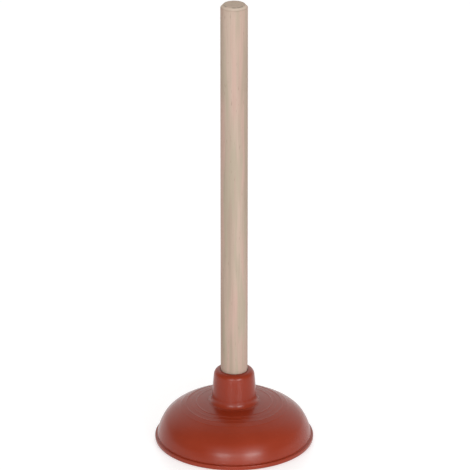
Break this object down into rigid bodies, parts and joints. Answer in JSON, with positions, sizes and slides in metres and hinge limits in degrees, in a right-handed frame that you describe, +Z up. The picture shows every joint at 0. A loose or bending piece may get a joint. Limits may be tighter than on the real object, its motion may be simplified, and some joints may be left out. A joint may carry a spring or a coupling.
{
  "type": "sink plunger",
  "caption": "Sink plunger: a low rubber cup with a thick tapered collar on a straight round wooden handle with a chamfered end.",
  "frame": {"origin": "on the axis, in the plane that the cup's sealing lip rests on", "axes": "+Z up along the handle; the body is turned about Z, so X and Y are alike"},
  "size_m": [0.15, 0.15, 0.437],
  "materials": {
    "rubber_cup": "satin terracotta rubber, slightly glossy",
    "wood_handle": "bare sanded pale hardwood",
    "zinc_steel": "bright zinc plate"
  },
  "bodies": {
    "rim": {"cup_rim": "rubber_cup", "cup_wall": "rubber_cup"},
    "crown": {"cup_crown_outer": "rubber_cup"},
    "rocker": {"cup_crown_inner": "rubber_cup"},
    "grip": {"cup_socket": "rubber_cup", "handle": "wood_handle", "washer": "zinc_steel", "fixing_screw": "zinc_steel"}
  },
  "joints": [
    {"name": "plunge", "type": "slide", "parent": "rim", "child": "crown", "axis": [0, 0, -1], "range_m": [-0.003, 0.018], "stiffness_N_per_m": 2500, "deforming": ["cup_wall"]},
    {"name": "rock_x", "type": "hinge", "parent": "crown", "child": "rocker", "pos_m": [0, 0, 0.0355], "axis": [1, 0, 0], "range_deg": [-8, 8], "stiffness_Nm_per_rad": 7},
    {"name": "rock_y", "type": "hinge", "parent": "rocker", "child": "grip", "pos_m": [0, 0, 0.0355], "axis": [0, 1, 0], "range_deg": [-8, 8], "stiffness_Nm_per_rad": 7}
  ]
}
